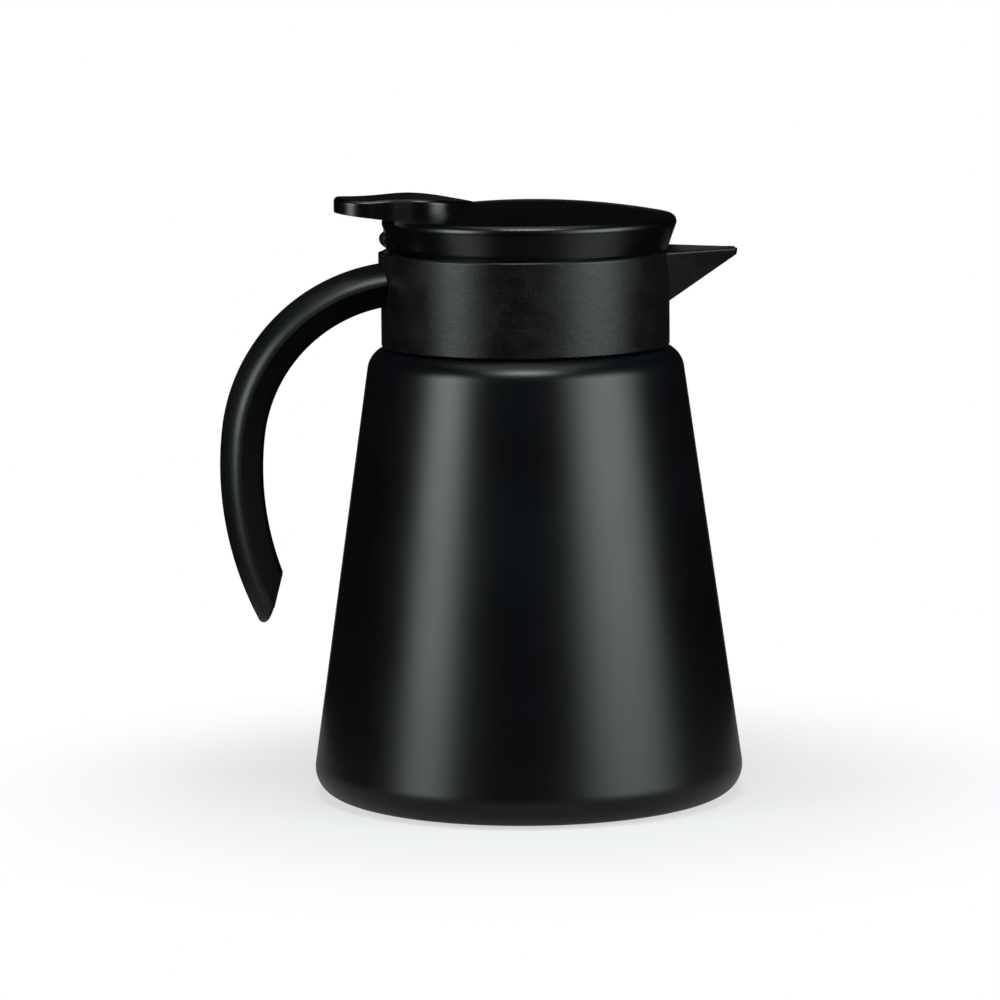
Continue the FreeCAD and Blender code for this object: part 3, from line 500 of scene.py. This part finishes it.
def steel_body():
    """Outer shell of the jug: one spun wall with even rounds at the foot and the shoulder."""
    lean = math.atan2(FOOT_RADIUS - SHOULDER_RADIUS, SHOULDER_HEIGHT)
    foot = FOOT_RADIUS - BASE_LEVEL * math.tan(lean)
    bm = spun([(BASE_RADIUS, BASE_LEVEL), (foot, BASE_LEVEL), (SHOULDER_RADIUS, SHOULDER_HEIGHT),
               (NECK_RADIUS, SHOULDER_HEIGHT), (NECK_RADIUS, NECK_TOP)], SPIN_STEPS)
    foot_turn = math.pi / 2 + lean
    shoulder_turn = math.pi / 2 - lean
    round_ring(bm, foot, BASE_LEVEL, FOOT_CORNER, foot_turn)
    round_ring(bm, SHOULDER_RADIUS, SHOULDER_HEIGHT, SHOULDER_CORNER, shoulder_turn)
    round_ring(bm, NECK_RADIUS, SHOULDER_HEIGHT, NECK_CORNER, math.pi / 2)
    foot_end = BASE_LEVEL + FOOT_CORNER * math.tan(foot_turn / 2) * math.cos(lean)
    shoulder_start = SHOULDER_HEIGHT - SHOULDER_CORNER * math.tan(shoulder_turn / 2) * math.cos(lean)
    for height in (foot_end + SUPPORT, shoulder_start - SUPPORT):
        bmesh.ops.bisect_plane(bm, geom=bm.verts[:] + bm.edges[:] + bm.faces[:], dist=WELD,
                               plane_co=(0, 0, height), plane_no=(0, 0, 1))
    shell = piece("steel_body", bm, powder_coat, "jug", "black_powder_coat", "outer_shell")
    wall = shell.modifiers.new("wall", "SOLIDIFY")
    wall.thickness = STEEL_WALL
    wall.offset = -1


def cross_recess(radius, depth):
    """Cutter for the cross in a screw's head, which opens at height 0 and narrows downwards."""
    bm = bmesh.new()
    middle = bmesh.ops.create_cube(bm, size=2)["verts"]
    bmesh.ops.scale(bm, vec=(RECESS_SLOT * radius, RECESS_SLOT * radius, depth), verts=middle)
    bm.normal_update()
    reach = (RECESS_ARM - RECESS_SLOT) * radius
    for side in [face for face in bm.faces if abs(face.normal.z) < 0.5]:
        outward = side.normal * reach
        arm_end = bmesh.ops.extrude_discrete_faces(bm, faces=[side])["faces"][0]
        bmesh.ops.translate(bm, vec=outward, verts=arm_end.verts[:])
    floor_points = [vert for vert in bm.verts if vert.co.z < 0]
    bmesh.ops.scale(bm, vec=(RECESS_TAPER, RECESS_TAPER, 1), verts=floor_points)
    bmesh.ops.rotate(bm, cent=(0, 0, 0), matrix=Matrix.Rotation(RECESS_TURN, 3, "Z"), verts=bm.verts[:])
    bmesh.ops.recalc_face_normals(bm, faces=bm.faces[:])
    return bm


def screw(profile, head_radius, recess):
    """Spun screw with its head's top at height 0 and a cross cut into it."""
    shapes = []
    for name, bm in (("screw blank", spun(profile, SCREW_STEPS)),
                     ("cross", cross_recess(head_radius, recess))):
        mesh = bpy.data.meshes.new(name)
        bm.to_mesh(mesh)
        bm.free()
        shape = bpy.data.objects.new(name, mesh)
        bpy.context.scene.collection.objects.link(shape)
        shapes.append(shape)
    blank, cutter = shapes
    cut = blank.modifiers.new("cross", "BOOLEAN")
    cut.object = cutter
    cut.operation = "DIFFERENCE"
    cut.solver = "EXACT"
    finished = blank.evaluated_get(bpy.context.evaluated_depsgraph_get())
    mesh = bpy.data.meshes.new_from_object(finished)
    for shape in shapes:
        bpy.data.objects.remove(shape)
    return mesh


def screws(name, mesh, places, body, node):
    """All the screws of one node as one piece, each turned to its own place."""
    bm = bmesh.new()
    for place in places:
        known = len(bm.verts)
        bm.from_mesh(mesh)
        bm.verts.ensure_lookup_table()
        bmesh.ops.transform(bm, matrix=place, verts=bm.verts[known:])
    bmesh.ops.recalc_face_normals(bm, faces=bm.faces[:])
    piece(name, bm, wire_steel, body, "fastener_steel", node)


def handle_screws():
    """Two countersunk screws that hold the handle from inside the collar."""
    low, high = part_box("handle_screws")
    level = (low.z + high.z) / 2
    head = (high.z - low.z) / 2
    spread = high.y - head
    length = high.x - low.x
    shank = head * HANDLE_SCREW_SHANK_SHARE
    profile = [(0, 0), (head, 0), (shank, -head / 2), (shank, shank / 2 - length), (shank / 2, -length),
               (0, -length)]
    turn = Matrix.Rotation(math.pi / 2, 4, "Y")
    places = []
    for side in (-1, 1):
        spot = Matrix.Translation((high.x, side * spread, level))
        places.append(spot @ turn @ Matrix.Rotation(side * HANDLE_SCREW_TURN, 4, "Z"))
    mesh = screw(profile, head, head * HANDLE_SCREW_RECESS_SHARE)
    screws("handle_cross_screws", mesh, places, "jug", "handle_screws")


def lid_screws():
    """Three pan-head screws under the lid's liner."""
    low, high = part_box("lid_screws")
    head = LID_SCREW_HEAD
    top = low.z + LID_SCREW_HEAD_HEIGHT
    shank = LID_SCREW_SHANK
    shoulder = low.z - top
    tip = low.z - high.z
    profile = [(0, 0), (head * LID_SCREW_FLAT_SHARE, 0), (head, -head * LID_SCREW_ROUND_SHARE),
               (head, shoulder), (shank, shoulder), (shank, shank / 2 + tip), (shank / 2, tip), (0, tip)]
    places = []
    for angle in (-LID_SCREW_SWEEP, 0, LID_SCREW_SWEEP):
        spot = Vector((LID_OFFSET + LID_SCREW_CIRCLE * math.cos(angle), LID_SCREW_CIRCLE * math.sin(angle),
                       low.z))
        places.append(Matrix.Translation(spot) @ Matrix.Rotation(math.pi, 4, "X")
                      @ Matrix.Rotation(angle, 4, "Z"))
    mesh = screw(profile, head, head * LID_SCREW_RECESS_SHARE)
    screws("lid_cross_screws", mesh, places, "lid", "lid_screws")


GRAIN = fine_grain_group()
HANDLING = handling_group()
SPECKS = specks_group()

powder_coat = moulded("black powder coat", (0.0013, 0.0017, 0.0024), (0.0024, 0.0031, 0.0042), (0.27, 0.31),
                      grain_size=0.0009, grain_depth=0.00002, patch=0.05, scuff_share=0.15, specular=0.37,
                      dust=0.003)
collar_plastic = moulded("grained black plastic", (0.0017, 0.002, 0.0028), (0.007, 0.0078, 0.009),
                         (0.3, 0.42), grain_size=0.0006, grain_depth=0.00008, patch=0.014,
                         scuff=0.0012, scuff_share=0.4, specular=0.37, dust=0.08)
handle_plastic = moulded("satin black plastic", (0.0014, 0.0019, 0.0026), (0.0035, 0.0042, 0.005),
                         (0.38, 0.46), grain_size=0.0007, grain_depth=0.00003, patch=0.02,
                         scuff=0.0015, specular=0.5, dust=0.03)
# Handle cover: a darker, duller copy of the handle's black plastic, painted shade on its inward face.
grip_plastic_painted_shade = moulded("dull black plastic with painted shade", (0.0005, 0.0007, 0.0011), (0.0013, 0.0016, 0.002), (0.46, 0.56),
                       grain_size=0.0008, grain_depth=0.00006, patch=0.02, scuff=0.0015, specular=0.07)
lid_plastic = moulded("smooth black plastic", (0.0005, 0.0007, 0.0012), (0.0012, 0.0015, 0.0022),
                      (0.24, 0.3), grain_size=0.0006, grain_depth=0.00002, patch=0.03, scuff=0.0015,
                      specular=0.5, dust=0.005)
inner_plastic = moulded("inner black plastic", (0.004, 0.004, 0.0041), (0.009, 0.009, 0.009), (0.4, 0.5),
                        grain_size=0.0007, grain_depth=0.00004, patch=0.02, specular=0.4)
silicone = moulded("grey silicone", (0.13, 0.13, 0.135), (0.17, 0.17, 0.175), (0.55, 0.7),
                   grain_size=0.0005, grain_depth=0.00002, patch=0.008, sheen=0.15)
foot_rubber = moulded("black foot rubber", (0.005, 0.005, 0.005), (0.012, 0.012, 0.012), (0.7, 0.85),
                      grain_size=0.0008, grain_depth=0.00008, patch=0.008)
lid_foam = moulded("white foam", (0.72, 0.71, 0.68), (0.85, 0.84, 0.8), (0.85, 0.95),
                   grain_size=0.0018, grain_depth=0.0003, patch=0.01)
bare_steel = turned_metal("turned steel", (0.62, 0.61, 0.59), (0.22, 0.36), 0.0004, 0.000012)
wire_steel = turned_metal("drawn steel", (0.56, 0.56, 0.57), (0.2, 0.32), 0.0003, 0.000008, turned=False)
# Hinge pin: steel made much darker than the other steel.
dark_pin_steel = turned_metal("dark steel", (0.03, 0.03, 0.032), (0.35, 0.5), 0.0003, 0.000008,
                               turned=False)
insert_brass = turned_metal("turned brass", (0.72, 0.5, 0.2), (0.25, 0.4), 0.0003, 0.00001, turned=False)
sealing_metal = turned_metal("dull sealing metal", (0.45, 0.45, 0.45), (0.5, 0.65), 0.0006, 0.00003)

FINISHES = {
    powder_coat: ["outer_shell", "outer_base"],
    collar_plastic: ["collar"],
    handle_plastic: ["handle_shell"],
    grip_plastic_painted_shade: ["handle_cover"],
    lid_plastic: ["lid_cover"],
    inner_plastic: ["stopper_ring", "lid_liner", "base_cover"],
    silicone: ["neck_gasket", "stopper_seal", "lid_gasket"],
    foot_rubber: ["foot_ring"],
    lid_foam: ["lid_foam"],
    bare_steel: ["inner_flask", "inner_base"],
    wire_steel: ["handle_screws", "lid_screws", "hinge_spring"],
    dark_pin_steel: ["hinge_pin"],
    insert_brass: ["handle_inserts"],
    sealing_metal: ["vacuum_bead", "getter"],
}


def dress(finishes):
    """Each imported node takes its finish."""
    for material, names in finishes.items():
        for name in names:
            slots = nodes[name].data.materials
            slots.clear()
            slots.append(material)


dress(FINISHES)
steel_body()
handle_screws()
lid_screws()
camera()
world()
floor()
softbox("left softbox", -57, 14, (1.05, 1.3), 7.7)
softbox("right softbox", 57, 14, (1.8, 1.3), 6.4)
softbox("top softbox", 0, 58, (1.1, 0.6), 13.0)
softbox("left table light", -57, -32, (1.05, 0.8), 1.1)
softbox("right table light", 57, -32, (1.8, 0.8), 0.9)

bpy.context.scene.view_settings.view_transform = "Standard"
